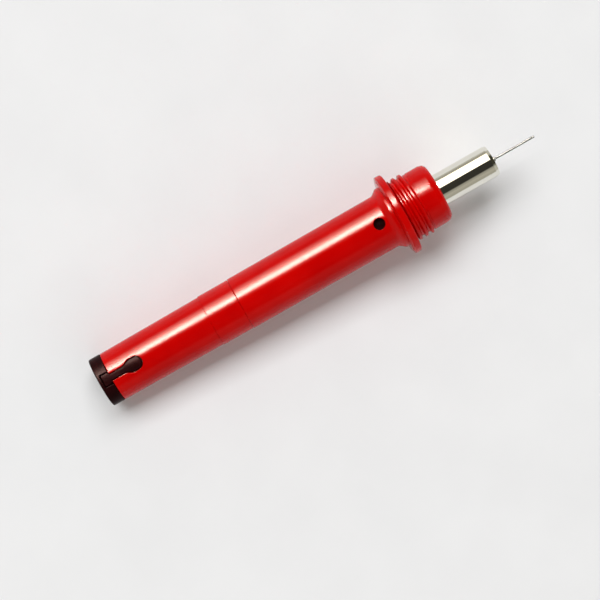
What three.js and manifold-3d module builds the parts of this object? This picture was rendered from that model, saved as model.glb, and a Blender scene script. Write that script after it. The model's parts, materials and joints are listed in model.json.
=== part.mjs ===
// A pen-shaped, spring-driven desoldering pump without its nose cap, shown cocked. Millimetres, +Z up.
//
// The pump's axis is X: the thumb knob is at the rear, near x = 0, and the cleaning needle points towards +X.
// Pushing the knob in drives the ram out of the neck against the main spring. Pressing the release lever's
// head rocks its tail out of the knob's latch groove, and the spring throws knob, rod, ram and needle back
// by 27 mm.
//
// Stations along the axis are measured from the rear face. The exported group moves them so that the middle
// of the length is at x = 0 and the flange rests on z = 0.

import * as THREE from 'three';
import { mergeVertices } from 'three/addons/utils/BufferGeometryUtils.js';
import Module from 'manifold-3d';

const wasm = await Module();
wasm.setup();

// ---------------------------------------------------------------- driving dimensions

const LENGTH = 182; // rear face to needle tip
const FINE = 40; // facets round the big turned pieces
const COARSE = 20; // facets round the small ones
const FIT = 0.15; // radial gap between two fixed pieces
const FACE_GAP = 0.2; // gap between two faces that meet

const END_RING = { front: 4.6, radius: 9.5, hole: 6.15, chamfer: 0.5, wall: 1.2 };
const SPIGOT = { end: 19.2, radius: 8.05 }; // the end ring's long neck inside the barrel
const REAR_BARREL = { back: 4.8, front: 45.8, backRadius: 9.48, frontRadius: 9.79, bore: 8.2 };
const SOCKET = { depth: 6.8, radius: 8.6 }; // counterbores that take the collar's spigots
const COLLAR = { back: 46, front: 58.1, radius: 10.01, bore: 7.7, spigotRadius: 8.42, spigotLength: 6.5 };
const FRONT_BARREL = { back: 58.3, backRadius: 10.18, frontRadius: 10.37 };
const FRONT_BORE = { radius: 7.9, step: 86, narrow: 7.3 };
const VENT = { at: 116.2, radius: 2.2 };
const FLARE = { back: 119.2, front: 121.4, end: 122.4, radius: 12.15 };
const FLANGE = { back: 122.7, rimBack: 123.3, front: 125.8, radius: 15.8, root: 14.2 };
const RELIEF = { outer: 13, inner: 12.7, depth: 0.4 }; // shallow groove round the thread's root
const THREAD = { back: 126.1, front: 133.4, minor: 11.4, major: 12.4, runout: 0.7 };
const HELIX = { pitch: 2.55, firstCrest: 126.9, crown: 1.55, steepness: 3.6 }; // firstCrest is on top
const THREAD_END = 133.7; // where the smooth front ring begins
const NECK = { end: 141.4, radius: 11.62, bore: 9.3, boreBack: 127 };
const NECK_EDGE = { back: 2.3, middle: 0.7, shallow: 0.45, deep: 1.2 }; // two slopes that end at the front face

const SLOT = { stem: 2.9, head: 5.3, headBack: 10, end: 17.7, taper: 1.6 };
const LEVER = { back: 1.5, end: 17.3, stem: 2.3, head: 4.7, bottom: 7.35, top: 9.45 };
const TAIL = { end: 4.3, width: 4.4 }; // the lever's rear end, which lies in the end ring's notch
const PIVOT = { x: 7.5, z: 7.2, pin: 0.45, hole: 0.58, halfLength: 2.5, boss: 1.05 };
const LEAF = { back: 12.2, heel: 14.2, front: 19, tip: 7.2, low: 6.75, hook: 7.8, gauge: 0.2, width: 2.4 };
const TOOTH = { back: 2.9, front: 3.9, bottom: 6.1, width: 3 };

const KNOB = { back: 0.4, front: 8, radius: 5.9, grooveBack: 2.5, grooveFront: 4.3, grooveRadius: 5.2 };
const KNOB_DISH = { depth: 1.2, floor: 3.4, rim: 4.4 };
const KNOB_SCREW = { height: 0.65, radius: 2.1, flat: 1.6, crown: 0.35 };
const SLEEVE = { front: 45.4, radius: 5.6, bore: 4.6 };
const ROD = { back: 5.2, front: 130, radius: 2 };
const ROD_BORE = ROD.radius + FIT;
const FOLLOWER = { back: 48.3, front: 50.8, radius: 7.4, hub: 4.4, hubLength: 2.4 };
const BUFFER = { length: 1.5, radius: 7.3, bore: 5.9 };
const SPRING = { back: 51.2, front: 79.1, coil: 5.6, wire: 1, turns: 9, endTurns: 1 };
const SEAT = { back: 79.4, front: 80.4, bore: 2.4 };
const BUSH = { back: 80.6, front: 85.8, bore: 2.15 };

const REAR_GUIDE = { back: 113.6, front: 121.2, radius: 7.15 }; // carries the ram's rear end in the bore
const RAM = { back: 121.5, front: 164.2, radius: 6.1, bore: 5.3, bevel: 1.2, fall: 0.3 };
const RAM_PLUG_BACK = 159.5;
const REAR_PLUG = { back: 122, front: 127.6 };
const ROD_NUT = { front: 129.8, radius: 3.6 };
const FERRULE = { back: 157.5, front: 165.5, radius: 1.0, needleHole: 0.56 };
const NEEDLE = { back: 158.3, radius: 0.42, tip: 0.6 };
const GUIDE = { back: 128.1, front: 132.8, bore: 6.25 };
const SEAL_GROOVE = { back: 129.4, front: 131.6, radius: 8 };
const SEAL = { at: 130.5, inner: 6.2, wire: 0.78 };
const GLAND = { back: 133, front: 140.5, bore: 6.4, mouth: 7.2, slots: 2, slotWidth: 1.4, slotDepth: 1 };
const RING_SCREW = { x: 12, radius: 1.1, headRadius: 1.7, headBottom: 8.35, shankTip: 6.7 };

// ---------------------------------------------------------------- materials

const shades = {
  redPlastic: { color: 0xbe0202, roughness: 0.22, metalness: 0 },
  blackPlastic: { color: 0x17141a, roughness: 0.38, metalness: 0 },
  chrome: { color: 0xd8d8d4, roughness: 0.06, metalness: 1 },
  steel: { color: 0x9a9a98, roughness: 0.3, metalness: 1 },
  springSteel: { color: 0x77777a, roughness: 0.35, metalness: 1 },
  brass: { color: 0xb08d4a, roughness: 0.3, metalness: 1 },
  acetal: { color: 0xe6e3da, roughness: 0.45, metalness: 0 },
  rubber: { color: 0x1c1b1b, roughness: 0.8, metalness: 0 },
};
const materials = Object.fromEntries(
  Object.entries(shades).map(([name, values]) => [name, new THREE.MeshStandardMaterial(values)]),
);

// ---------------------------------------------------------------- solids

function toManifold(geometry) {
  const bare = geometry.clone();
  bare.deleteAttribute('normal');
  bare.deleteAttribute('uv');
  const merged = mergeVertices(bare, 1e-5);
  return new wasm.Manifold(
    new wasm.Mesh({
      numProp: 3,
      vertProperties: merged.attributes.position.array,
      triVerts: new Uint32Array(withoutSlivers(merged.index.array)),
    }),
  );
}

// A lathe's triangles at the axis have two corners in one place, so they are dropped.
function withoutSlivers(index) {
  const kept = [];
  for (let i = 0; i < index.length; i += 3) {
    const [a, b, c] = [index[i], index[i + 1], index[i + 2]];
    if (a !== b && b !== c && c !== a) kept.push(a, b, c);
  }
  return kept;
}

function toGeometry(manifold) {
  const { vertProperties, triVerts } = manifold.getMesh();
  const geometry = new THREE.BufferGeometry();
  geometry.setAttribute('position', new THREE.BufferAttribute(vertProperties, 3));
  geometry.setIndex(new THREE.BufferAttribute(triVerts, 1));
  return geometry;
}

function cut(body, ...tools) {
  return tools.reduce((left, tool) => left.subtract(tool), body);
}

function join(body, ...others) {
  return others.reduce((sum, other) => sum.add(other), body);
}

// A solid of revolution round the pump's axis. The outline lists [x, radius] points: along the outside
// towards +X, then back along the inside.
function turned(outline, facets = FINE) {
  const points = [...outline, outline[0]].map(([x, radius]) => new THREE.Vector2(radius, x));
  return toManifold(new THREE.LatheGeometry(points, facets).rotateZ(-Math.PI / 2));
}

function tube(back, front, outer, inner, facets = FINE) {
  return turned([[back, outer], [front, outer], [front, inner], [back, inner]], facets);
}

function rod(back, front, radius, facets = COARSE) {
  return turned([[back, 0], [back, radius], [front, radius], [front, 0]], facets);
}

function ring(x, radius, wire, facets = FINE) {
  return toManifold(new THREE.TorusGeometry(radius, wire, 8, facets).rotateY(Math.PI / 2).translate(x, 0, 0));
}

function block(x0, x1, width, z0, z1) {
  const box = new THREE.BoxGeometry(x1 - x0, width, z1 - z0);
  return toManifold(box.translate((x0 + x1) / 2, 0, (z0 + z1) / 2));
}

// A round solid that stands along Z from z0 to z1.
function post(x, radius, z0, z1, facets = COARSE) {
  const drum = new THREE.CylinderGeometry(radius, radius, z1 - z0, facets).rotateX(Math.PI / 2);
  return toManifold(drum.translate(x, 0, (z0 + z1) / 2));
}

// A round solid across the pump, centred on the lever's pivot.
function crossPost(radius, halfLength) {
  const drum = new THREE.CylinderGeometry(radius, radius, 2 * halfLength, COARSE);
  return toManifold(drum.translate(PIVOT.x, 0, PIVOT.z));
}

// A flat outline in the XY plane, raised from z0 to z1.
function raised(shape, z0, z1) {
  const slab = new THREE.ExtrudeGeometry(shape, { depth: z1 - z0, bevelEnabled: false, curveSegments: 10 });
  return toManifold(slab.translate(0, 0, z0));
}

// ---------------------------------------------------------------- outlines

// A narrow stem that widens into a head with a rounded front end, seen from above.
function keyhole(back, stemWidth, headWidth, headBack, end) {
  const stem = stemWidth / 2;
  const head = headWidth / 2;
  const shape = new THREE.Shape();
  shape.moveTo(back, -stem);
  shape.lineTo(headBack, -stem);
  shape.quadraticCurveTo(headBack + SLOT.taper, -head, headBack + 2 * SLOT.taper, -head);
  shape.lineTo(end - head, -head);
  shape.absarc(end - head, 0, head, -Math.PI / 2, Math.PI / 2, false);
  shape.lineTo(headBack + 2 * SLOT.taper, head);
  shape.quadraticCurveTo(headBack + SLOT.taper, head, headBack, stem);
  shape.lineTo(back, stem);
  return shape;
}

// The thread's radius at a station and an angle: a triangular ridge with one start, fading out at both ends.
function threadRadius(x, angle) {
  const turns = (x - HELIX.firstCrest) / HELIX.pitch - (angle - Math.PI / 2) / (2 * Math.PI);
  const offCrest = Math.abs(turns - Math.round(turns));
  const ridge = THREE.MathUtils.clamp(HELIX.crown - HELIX.steepness * offCrest, 0, 1);
  const fade = Math.min(x - THREAD.back, THREAD.front - x) / THREAD.runout;
  return THREAD.minor + (THREAD.major - THREAD.minor) * ridge * THREE.MathUtils.clamp(fade, 0, 1);
}

// The threaded length as a solid sleeve: a grid of rings whose radius follows the helix.
function threadSleeve() {
  const rings = 20;
  const inner = NECK.bore + 1;
  const outline = [[THREAD.back, inner]];
  for (let i = 0; i <= rings; i++) {
    outline.push([THREE.MathUtils.lerp(THREAD.back, THREAD.front, i / rings), THREAD.minor]);
  }
  outline.push([THREAD.front, inner]);
  const points = [...outline, outline[0]].map(([x, radius]) => new THREE.Vector2(radius, x));
  const geometry = new THREE.LatheGeometry(points, FINE).rotateZ(-Math.PI / 2);
  const place = geometry.attributes.position;
  for (let i = 0; i < place.count; i++) {
    const [x, y, z] = [place.getX(i), place.getY(i), place.getZ(i)];
    const radius = Math.hypot(y, z);
    if (radius < THREAD.minor - 0.01) continue;
    const scale = threadRadius(x, Math.atan2(z, y)) / radius;
    place.setXYZ(i, x, y * scale, z * scale);
  }
  return toManifold(geometry);
}

// ---------------------------------------------------------------- fixed pieces

function makeEndRing() {
  const { front, radius, hole, chamfer, wall } = END_RING;
  const outline = [
    [0, radius - chamfer],
    [chamfer, radius],
    [front, radius],
    [front, SPIGOT.radius],
    [SPIGOT.end, SPIGOT.radius],
    [SPIGOT.end, hole],
    [chamfer, hole],
    [0, hole + chamfer],
  ];
  const notch = block(wall, front + 0.5, TAIL.width + 0.7, hole - 1, radius + 1);
  const stemSlot = block(front, SLOT.headBack + 0.5, SLOT.stem, 0, radius + 1);
  const headSlot = block(SLOT.headBack, SLOT.end + 0.3, SLOT.head + 0.2, 0, radius + 1);
  const pinHole = crossPost(PIVOT.pin + 0.1, PIVOT.halfLength + 2);
  const leafSeat = block(SLOT.end, SPIGOT.end + 1, LEAF.width + 0.4, LEAF.low - 0.15, radius);
  const screwHole = post(RING_SCREW.x, RING_SCREW.radius + 0.1, -radius, 0);
  return cut(turned(outline), notch, stemSlot, headSlot, leafSeat, pinHole, screwHole);
}

function makeRearBarrel() {
  const { back, front, backRadius, frontRadius, bore } = REAR_BARREL;
  const outline = [
    [back, backRadius],
    [front, frontRadius],
    [front, SOCKET.radius],
    [front - SOCKET.depth, SOCKET.radius],
    [front - SOCKET.depth, bore],
    [back, bore],
  ];
  const slot = raised(keyhole(back - 1, SLOT.stem, SLOT.head, SLOT.headBack, SLOT.end), 0, backRadius + 2);
  const screwHole = post(RING_SCREW.x, RING_SCREW.headRadius + FIT, -backRadius - 1, 0);
  return cut(turned(outline), slot, screwHole);
}

function makeCouplingCollar() {
  const { back, front, radius, bore, spigotRadius, spigotLength } = COLLAR;
  return turned([
    [back - spigotLength, spigotRadius],
    [back, spigotRadius],
    [back, radius],
    [front, radius],
    [front, spigotRadius],
    [front + spigotLength, spigotRadius],
    [front + spigotLength, bore],
    [back - spigotLength, bore],
  ]);
}

function makeFrontBarrel() {
  const { back, backRadius, frontRadius } = FRONT_BARREL;
  const { radius: bore, step, narrow } = FRONT_BORE;
  const outline = [
    [back, backRadius],
    [FLARE.back, frontRadius],
    [FLARE.front, FLARE.radius],
    [FLARE.end, FLARE.radius],
    [FLANGE.back, FLANGE.root],
    [FLANGE.rimBack, FLANGE.radius],
    [FLANGE.front, FLANGE.radius],
    [FLANGE.front, RELIEF.outer],
    [FLANGE.front - RELIEF.depth, RELIEF.inner],
    [FLANGE.front - RELIEF.depth, THREAD.minor],
    [THREAD_END, THREAD.minor],
    [THREAD_END, NECK.radius],
    [NECK.end - NECK_EDGE.back, NECK.radius],
    [NECK.end - NECK_EDGE.middle, NECK.radius - NECK_EDGE.shallow],
    [NECK.end, NECK.radius - NECK_EDGE.deep],
    [NECK.end, NECK.bore],
    [NECK.boreBack, NECK.bore],
    [NECK.boreBack, narrow],
    [step, narrow],
    [step, bore],
    [back + SOCKET.depth, bore],
    [back + SOCKET.depth, SOCKET.radius],
    [back, SOCKET.radius],
  ];
  const vent = post(VENT.at, VENT.radius, 0, frontRadius + 2);
  return cut(join(turned(outline), threadSleeve()), vent);
}

function makeRodBush() {
  const { back, front, bore } = BUSH;
  const edge = 0.4;
  const outer = FRONT_BORE.radius - FIT;
  return turned([[back, outer], [front - edge, outer], [front, outer - edge], [front, bore], [back, bore]]);
}

function makeRamGuide() {
  const { back, front, bore } = GUIDE;
  const outer = NECK.bore - FIT;
  return turned([
    [back, outer],
    [front, outer],
    [front, bore],
    [SEAL_GROOVE.front, bore],
    [SEAL_GROOVE.front, SEAL_GROOVE.radius],
    [SEAL_GROOVE.back, SEAL_GROOVE.radius],
    [SEAL_GROOVE.back, bore],
    [back, bore],
  ]);
}

function makeGlandNut() {
  const { back, front, bore, mouth, slots, slotWidth, slotDepth } = GLAND;
  const outer = NECK.bore - FIT;
  const flare = mouth - bore;
  let nut = turned([[back, outer], [front, outer], [front, mouth], [front - flare, bore], [back, bore]]);
  for (let i = 0; i < slots; i++) {
    const slot = new THREE.BoxGeometry(2 * slotDepth, 3 * NECK.bore, slotWidth);
    slot.translate(front, 0, 0).rotateX((Math.PI * i) / slots);
    nut = cut(nut, toManifold(slot));
  }
  return nut;
}

function makeRingScrew() {
  const { x, radius, headRadius, headBottom, shankTip } = RING_SCREW;
  const top = REAR_BARREL.backRadius - 0.15;
  const head = post(x, headRadius, -top, -headBottom);
  const shank = post(x, radius - 0.1, -headBottom - 0.1, -shankTip, 16);
  const driveSlot = toManifold(new THREE.BoxGeometry(1.5 * headRadius, 0.5, 0.8).translate(x, 0, -top));
  return cut(join(head, shank), driveSlot);
}

// ---------------------------------------------------------------- release lever

function makeReleaseLever() {
  const { stem, head, back, end, bottom, top } = LEVER;
  const tongue = raised(keyhole(TAIL.end - 0.5, stem, head, SLOT.headBack + 0.2, end), bottom, top + 1);
  const tailPlate = block(back, TAIL.end, TAIL.width, bottom - 0.3, top + 1);
  const tooth = block(TOOTH.back, TOOTH.front, TOOTH.width, TOOTH.bottom, bottom);
  const boss = crossPost(PIVOT.boss, stem / 2);
  const blank = join(tongue, tailPlate, tooth, boss);
  const envelope = rod(0, end + 1, top, FINE);
  return cut(blank.intersect(envelope), crossPost(PIVOT.hole, 4));
}

// A leaf that hooks over the end ring's spigot and presses the head outwards.
function makeLeverSpring() {
  const { back, heel, front, tip, low, hook, gauge, width } = LEAF;
  const shape = new THREE.Shape();
  shape.moveTo(back, tip - gauge);
  shape.lineTo(heel, low);
  shape.lineTo(front, low);
  shape.lineTo(front, hook);
  shape.lineTo(front - gauge, hook);
  shape.lineTo(front - gauge, low + gauge);
  shape.lineTo(heel, low + gauge);
  shape.lineTo(back, tip);
  shape.closePath();
  const strip = new THREE.ExtrudeGeometry(shape, { depth: width, bevelEnabled: false });
  return toManifold(strip.rotateX(Math.PI / 2).translate(0, width / 2, 0));
}

function wireAlong(points, radius, sides) {
  const section = new THREE.Shape();
  section.absarc(0, 0, radius, 0, 2 * Math.PI, false);
  return new THREE.ExtrudeGeometry(section, {
    steps: points.length - 1,
    extrudePath: new THREE.CatmullRomCurve3(points),
    curveSegments: sides,
  });
}

// ---------------------------------------------------------------- plunger

function makePlungerKnob() {
  const { back, front, radius, grooveBack, grooveFront, grooveRadius } = KNOB;
  const floor = back + KNOB_DISH.depth;
  const edge = 0.4;
  return turned([
    [floor, 0],
    [floor, KNOB_DISH.floor],
    [back, KNOB_DISH.rim],
    [back, radius - edge],
    [back + edge, radius],
    [grooveBack, radius],
    [grooveBack, grooveRadius],
    [grooveFront, grooveRadius],
    [grooveFront + radius - grooveRadius, radius],
    [front, radius],
    [front, SLEEVE.bore],
    [front - 1, ROD_BORE],
    [ROD.back - FACE_GAP, ROD_BORE],
    [ROD.back - FACE_GAP, 0],
  ]);
}

// A domed head that sits in the knob's dish.
function makeKnobScrew() {
  const { height, radius, flat, crown } = KNOB_SCREW;
  const seat = KNOB.back + KNOB_DISH.depth - FACE_GAP;
  return turned(
    [[seat - height, 0], [seat - height, flat], [seat - height + crown, radius], [seat, radius], [seat, 0]],
    COARSE,
  );
}

function makeBufferRing() {
  const front = FOLLOWER.back - FACE_GAP;
  return tube(front - BUFFER.length, front, BUFFER.radius, BUFFER.bore);
}

function makeSpringFollower() {
  const { back, front, radius, hub, hubLength } = FOLLOWER;
  return turned([
    [back - hubLength, hub],
    [back, hub],
    [back, radius],
    [front, radius],
    [front, hub - 0.2],
    [front + hubLength, hub - 0.2],
    [front + hubLength, ROD_BORE],
    [back - hubLength, ROD_BORE],
  ]);
}

// The coil closes up at both ends, where its pitch falls to the wire's own thickness.
function makeMainSpring() {
  const { back, front, coil, wire, turns, endTurns } = SPRING;
  const perTurn = 12;
  const total = turns + 2 * endTurns;
  const closed = wire * 1.06 * endTurns;
  const low = back + wire / 2;
  const high = front - wire / 2;
  const points = [];
  for (let i = 0; i <= total * perTurn; i++) {
    const turn = i / perTurn;
    const open = THREE.MathUtils.clamp((turn - endTurns) / turns, 0, 1);
    const start = Math.min(turn / endTurns, 1) * closed;
    const finish = THREE.MathUtils.clamp((turn - endTurns - turns) / endTurns, 0, 1) * closed;
    const x = low + start + open * (high - low - 2 * closed) + finish;
    const angle = turn * 2 * Math.PI;
    points.push(new THREE.Vector3(x, coil * Math.cos(angle), coil * Math.sin(angle)));
  }
  return wireAlong(points, wire / 2, 3);
}

function makeRamShell() {
  const { back, front, radius, bore, bevel, fall } = RAM;
  const edge = [[front - bevel, radius], [front, radius - fall]];
  return turned([[back, radius], ...edge, [front, bore], [back, bore]]);
}

function makeRodNut() {
  const back = REAR_PLUG.front + FACE_GAP;
  const hexagon = rod(back, ROD_NUT.front, ROD_NUT.radius, 6);
  return cut(hexagon, rod(back - 1, ROD_NUT.front + 1, ROD_BORE));
}

function makeNeedleFerrule() {
  const { back, front, radius, needleHole } = FERRULE;
  return turned(
    [[back, radius], [front - 0.3, radius], [front, radius - 0.25], [front, needleHole], [back, needleHole]],
    COARSE,
  );
}

function makeCleaningNeedle() {
  const { back, radius, tip } = NEEDLE;
  return turned(
    [[back, 0], [back, radius], [LENGTH - tip, radius], [LENGTH, radius / 2], [LENGTH, 0]],
    COARSE,
  );
}

// ---------------------------------------------------------------- assembly

const barrel = {
  end_ring: [makeEndRing(), 'blackPlastic'],
  rear_barrel: [makeRearBarrel(), 'redPlastic'],
  coupling_collar: [makeCouplingCollar(), 'redPlastic'],
  front_barrel: [makeFrontBarrel(), 'redPlastic'],
  spring_seat: [tube(SEAT.back, SEAT.front, FRONT_BORE.radius - FIT, SEAT.bore), 'steel'],
  rod_bush: [makeRodBush(), 'acetal'],
  neck_washer: [tube(NECK.boreBack + FACE_GAP, GUIDE.back - FACE_GAP, NECK.bore - FIT, GUIDE.bore), 'steel'],
  ram_guide: [makeRamGuide(), 'acetal'],
  ram_seal: [ring(SEAL.at, SEAL.inner + SEAL.wire, SEAL.wire), 'rubber'],
  gland_nut: [makeGlandNut(), 'blackPlastic'],
  lever_pivot_pin: [crossPost(PIVOT.pin, PIVOT.halfLength), 'steel'],
  ring_screw: [makeRingScrew(), 'steel'],
};

const plunger = {
  plunger_knob: [makePlungerKnob(), 'blackPlastic'],
  knob_screw: [makeKnobScrew(), 'steel'],
  plunger_sleeve: [tube(KNOB.front + FACE_GAP, SLEEVE.front, SLEEVE.radius, SLEEVE.bore), 'steel'],
  plunger_rod: [rod(ROD.back, ROD.front, ROD.radius), 'steel'],
  spring_follower: [makeSpringFollower(), 'acetal'],
  buffer_ring: [makeBufferRing(), 'rubber'],
  ram_rear_guide: [tube(REAR_GUIDE.back, REAR_GUIDE.front, REAR_GUIDE.radius, ROD_BORE), 'blackPlastic'],
  ram_shell: [makeRamShell(), 'chrome'],
  ram_rear_plug: [tube(REAR_PLUG.back, REAR_PLUG.front, RAM.bore - FIT, ROD_BORE), 'brass'],
  rod_nut: [makeRodNut(), 'steel'],
  ram_plug: [tube(RAM_PLUG_BACK, RAM.front, RAM.bore - FIT, FERRULE.radius + FIT), 'chrome'],
  needle_ferrule: [makeNeedleFerrule(), 'steel'],
  cleaning_needle: [makeCleaningNeedle(), 'springSteel'],
};

const lever = {
  release_lever: [makeReleaseLever(), 'blackPlastic'],
};

const springs = {
  main_spring: [makeMainSpring(), 'springSteel'],
  lever_spring: [makeLeverSpring(), 'springSteel'],
};

function assemble(pieces) {
  const group = new THREE.Group();
  for (const [name, [shape, material]] of Object.entries(pieces)) {
    const geometry = shape.isBufferGeometry ? shape : toGeometry(shape);
    const mesh = new THREE.Mesh(geometry, materials[material]);
    mesh.name = name;
    group.add(mesh);
  }
  return group;
}

const pump = new THREE.Group();
pump.add(assemble(barrel), assemble(plunger), assemble(lever), assemble(springs));
pump.position.set(-LENGTH / 2, 0, FLANGE.radius);

export default pump;
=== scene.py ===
"""Looks of a pen-shaped desoldering pump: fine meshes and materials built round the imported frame.

Stations are millimetres along the pump from its rear face, and radii are millimetres from its axis.
Angles are measured round the axis from the top towards +Y.
"""

import json
import math
from collections import namedtuple

import bmesh
import bpy
from mathutils import Matrix, Vector


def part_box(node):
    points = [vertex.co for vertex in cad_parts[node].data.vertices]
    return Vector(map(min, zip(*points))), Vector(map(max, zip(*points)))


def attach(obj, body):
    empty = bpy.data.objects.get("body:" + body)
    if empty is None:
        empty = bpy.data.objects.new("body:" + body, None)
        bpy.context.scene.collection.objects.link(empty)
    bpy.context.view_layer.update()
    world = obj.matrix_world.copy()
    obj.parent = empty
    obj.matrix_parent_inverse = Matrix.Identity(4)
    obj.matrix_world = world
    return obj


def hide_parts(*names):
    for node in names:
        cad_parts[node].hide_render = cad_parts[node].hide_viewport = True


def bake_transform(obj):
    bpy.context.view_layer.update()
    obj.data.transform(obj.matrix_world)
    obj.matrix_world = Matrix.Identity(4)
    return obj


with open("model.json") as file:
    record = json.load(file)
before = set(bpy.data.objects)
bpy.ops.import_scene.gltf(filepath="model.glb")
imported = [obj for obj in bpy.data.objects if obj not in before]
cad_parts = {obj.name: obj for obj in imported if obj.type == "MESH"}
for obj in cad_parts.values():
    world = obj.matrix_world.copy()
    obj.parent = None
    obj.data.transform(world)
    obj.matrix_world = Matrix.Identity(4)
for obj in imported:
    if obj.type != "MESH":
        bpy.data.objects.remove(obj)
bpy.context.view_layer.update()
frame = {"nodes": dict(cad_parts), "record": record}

# ------------------------------------------------------------------ the frame's own places

MM = 0.001
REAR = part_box("end_ring")[0].x
AXIS = (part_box("ram_shell")[0].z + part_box("ram_shell")[1].z) / 2

Span = namedtuple("Span", "back front radius")


def measured(node):
    """A node's rear station, front station and radius."""
    low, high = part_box(node)
    return Span((low.x - REAR) / MM, (high.x - REAR) / MM, (high.y - low.y) / 2 / MM)


SPANS = {node: measured(node) for node in frame["nodes"]}
SLOTS = {part["node"]: part["material_slot"] for part in frame["record"]["subparts"]}
BODIES = {node: body for body, nodes in frame["record"]["behaviour"]["bodies"].items() for node in nodes}

# ------------------------------------------------------------------ driving dimensions, in millimetres

FACETS = 180  # round the big pieces
SMALL_FACETS = 48
WELD = 1e-7  # metres
FILLET_STEPS = 5
HOLD = 0.25  # of a fillet's radius: a ring this far out keeps the flat beside the fillet shaded flat
ROOM = 4  # a flat has room for that ring if it is longer than this many radii
EDGE = 0.18  # rounding of ordinary moulded edges
SHARP = math.radians(32)  # faces that meet at more than this keep a crisp edge
BEYOND = 1.0  # a cutting block reaches this far past the piece
SUNK = {"spigot": 0.2, "tooth": 0.1}  # how far these reach into the rest of their piece
SLACK = {"ferrule": 0.15, "rod": 0.2}  # room round the needle's ferrule, and behind the rod
STATIONS = {"ring": 12, "slot": 38, "vent": 20, "flare": 12, "thread": 72}  # steps along each wall

RING = {"end": 4.6, "hole": 6.15, "wall": 1.2, "notch": 2.55, "corner": 0.35, "edge": 0.45, "flat": 0.5}
SPIGOT = {"radius": 8.05, "stem": 1.5, "head": 2.75}
REAR_BARREL = {"radius": 9.48, "bore": 8.2, "cut_length": 15.2}
SLOT = {"stem": 1.45, "head": 2.65, "head_back": 10.0, "taper": 3.2, "end": 17.7, "lip": 0.22}
SCREW_HOLE = {"radius": 1.85, "lip": 0.09}
RING_SCREW = {"head": 0.65, "shank": 1.0, "slot": 0.25, "deep": 0.4}
SOCKET = {"depth": 6.8, "radius": 8.6}
COLLAR = {"spigot": 8.42, "bore": 7.7, "gap": 0.05, "edge": 0.1, "groove": 0.26}
FRONT = {"back_radius": 10.18, "radius": 10.37, "bore": 7.9, "step": 86.0, "narrow": 7.3}
VENT = {"at": 116.2, "radius": 2.2, "lip": 0.16}
HOLE_FIELD = 3.6  # a small hole's rectangle of the wall's grid reaches this far along the pump on either side
FIELD_ANGLE = {"slot": math.radians(30), "vent": math.radians(20)}  # and this far round it
FLARE = {"back": 118.8, "front": 121.9, "end": 122.5, "radius": 12.15}
FLANGE = {"back": 122.7, "root": 14.2, "rim_back": 123.3, "front": 125.8}
RELIEF = {"radius": 13.0, "depth": 0.4, "draft": 0.3}  # the groove in the flange's front face
THREAD = {"back": 126.1, "front": 133.4, "minor": 11.4, "major": 12.4}
HELIX = {"pitch": 2.55, "first": 126.9, "fade": 0.7, "crown": 1.45, "steepness": 3.4}
NECK = {"back": 133.7, "radius": 11.62, "bore": 9.3, "bore_back": 127.0}
NECK_EDGE = {"back": 2.3, "middle": 0.7, "shallow": 0.45, "deep": 1.2}  # two slopes to the front face
GLAND = {"bore": 6.4, "mouth": 7.2, "slot": 0.7, "depth": 1.0}

LEVER = {"stem": 1.15, "head": 2.35, "head_back": 10.2, "bottom": 7.4, "top": 9.45}
LEVER_EDGE = {"crown": 0.12, "round": 0.3}
LEVER_STEPS = {"corner": 6, "shoulder": 8, "across": 24}
TAIL = {"width": 2.2, "end": 4.1, "corner": 0.5, "shoulder": 0.5}
TOOTH = {"back": 2.9, "front": 3.9, "width": 1.5, "bottom": 6.1}
PIVOT = {"x": 7.5, "z": 7.2, "boss": 1.05}

RAM = {"bore": 5.3, "bevel": 1.2, "fall": 0.3}
FERRULE = {"bore": 0.56, "edge": 0.4}
KNOB = {"dish": 1.2, "floor": 3.4, "rim": 4.4, "groove": 5.2, "groove_back": 2.5, "groove_front": 4.3}
KNOB_CONE = 1.0  # where its bore narrows from the sleeve to the rod
KNOB_SCREW = {"arm": 1.1, "half": 0.22, "deep": 0.35}  # its cross slot
SLEEVE_BORE = 4.6
ROD_BORE = 2.15
SPRING = {"coil": 5.6, "wire": 0.5, "turns": 9, "end_turns": 1, "closed": 1.06, "facets": 12}
LEAF = {"heel": 14.2, "tip": 7.2, "low": 6.75, "hook": 7.8, "gauge": 0.2}

CAMERA = {"field": 219.0, "distance": 766.0, "turn": -29.7, "lean": 1.0, "station": 77.9, "aside": -9.6}
LIT_STATION = 78.0  # the lights stand round this station
LAMPS = {  # metres
    "key": {"angle": 31, "distance": 6.0, "long": 7.0, "wide": 3.0, "watts": 392.0},
    "fill": {"angle": -42, "distance": 6.0, "long": 7.0, "wide": 6.0, "watts": 92.0},
}
LAMP_COLOUR = (1.0, 0.995, 0.985)
CARD = {"distance": 600.0, "half_length": 240.0, "past_neck": 3.0, "facets": 48}
CARD_COLOUR = (1.0, 0.95, 0.8)
BARREL_STRENGTH = 112.0
RAM_STRENGTH = 2.4
# How bright each card is at an angle from the zenith, in degrees.
BARREL_GLOW = {
    12: 0.01,
    17: 0.02,
    22: 0.21,
    26: 0.68,
    30: 1.0,
    34.5: 0.96,
    39: 0.69,
    46: 0.32,
    54: 0.15,
    63: 0.05,
    71: 0.0,
}
RAM_GLOW = {-86: 0.16, -60: 0.2, -42: 0.14, -36: 0.015, 9: 0.015, 10.5: 1.0, 58: 1.0, 64: 0.16, 80: 0.15}
FLOOR = {"reach": 240.0, "half": 900.0, "spots": 48, "shade": (0.76, 0.765, 0.79)}
SKY = {0.5: (0.56, 0.55, 0.49), 0.7: (0.05, 0.047, 0.033)}  # by height, with the horizon at 0.5


# ------------------------------------------------------------------ points

def point(x, y, z):
    """A place given by its station and its offsets from the axis."""
    return Vector((REAR + x * MM, y * MM, AXIS + z * MM))


def polar(x, radius, angle):
    """A place given by its station, its radius and its angle."""
    return point(x, radius * math.sin(angle), radius * math.cos(angle))


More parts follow.
